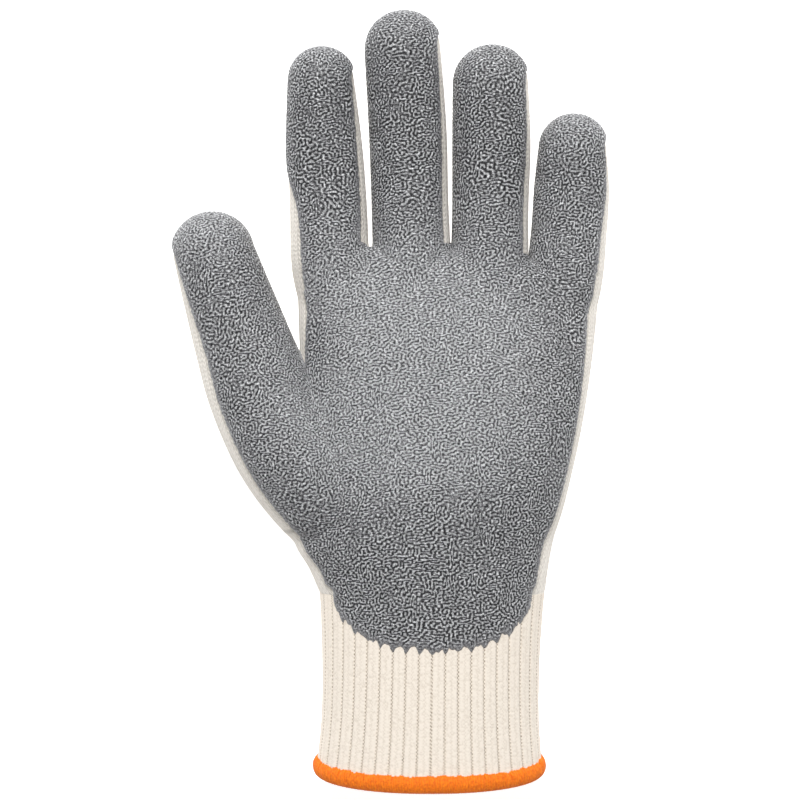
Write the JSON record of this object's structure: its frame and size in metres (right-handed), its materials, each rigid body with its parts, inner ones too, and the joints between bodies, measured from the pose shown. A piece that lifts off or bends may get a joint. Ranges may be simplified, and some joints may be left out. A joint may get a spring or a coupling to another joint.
{
  "type": "thermal work glove",
  "caption": "Left-hand knitted work glove, palm up: grey crinkle rubber dip over palm and fingers, cream ribbed cuff, orange overlocked edge.",
  "frame": {"origin": "centre of the footprint, on the surface that the glove lies on", "axes": "+X towards the little finger, +Y towards the fingertips, +Z out of the palm"},
  "size_m": [0.1492, 0.2602, 0.0395],
  "materials": {
    "knit": "cream brushed knit",
    "coating": "grey crinkle latex",
    "hem": "orange overlock thread"
  },
  "bodies": {
    "root": {"knit_palm": "knit", "knit_thumb": "knit", "knit_index": "knit", "knit_middle": "knit", "knit_ring": "knit", "knit_little": "knit", "rib_cuff": "knit", "palm_coating": "coating", "hem_binding": "hem"}
  },
  "joints": []
}
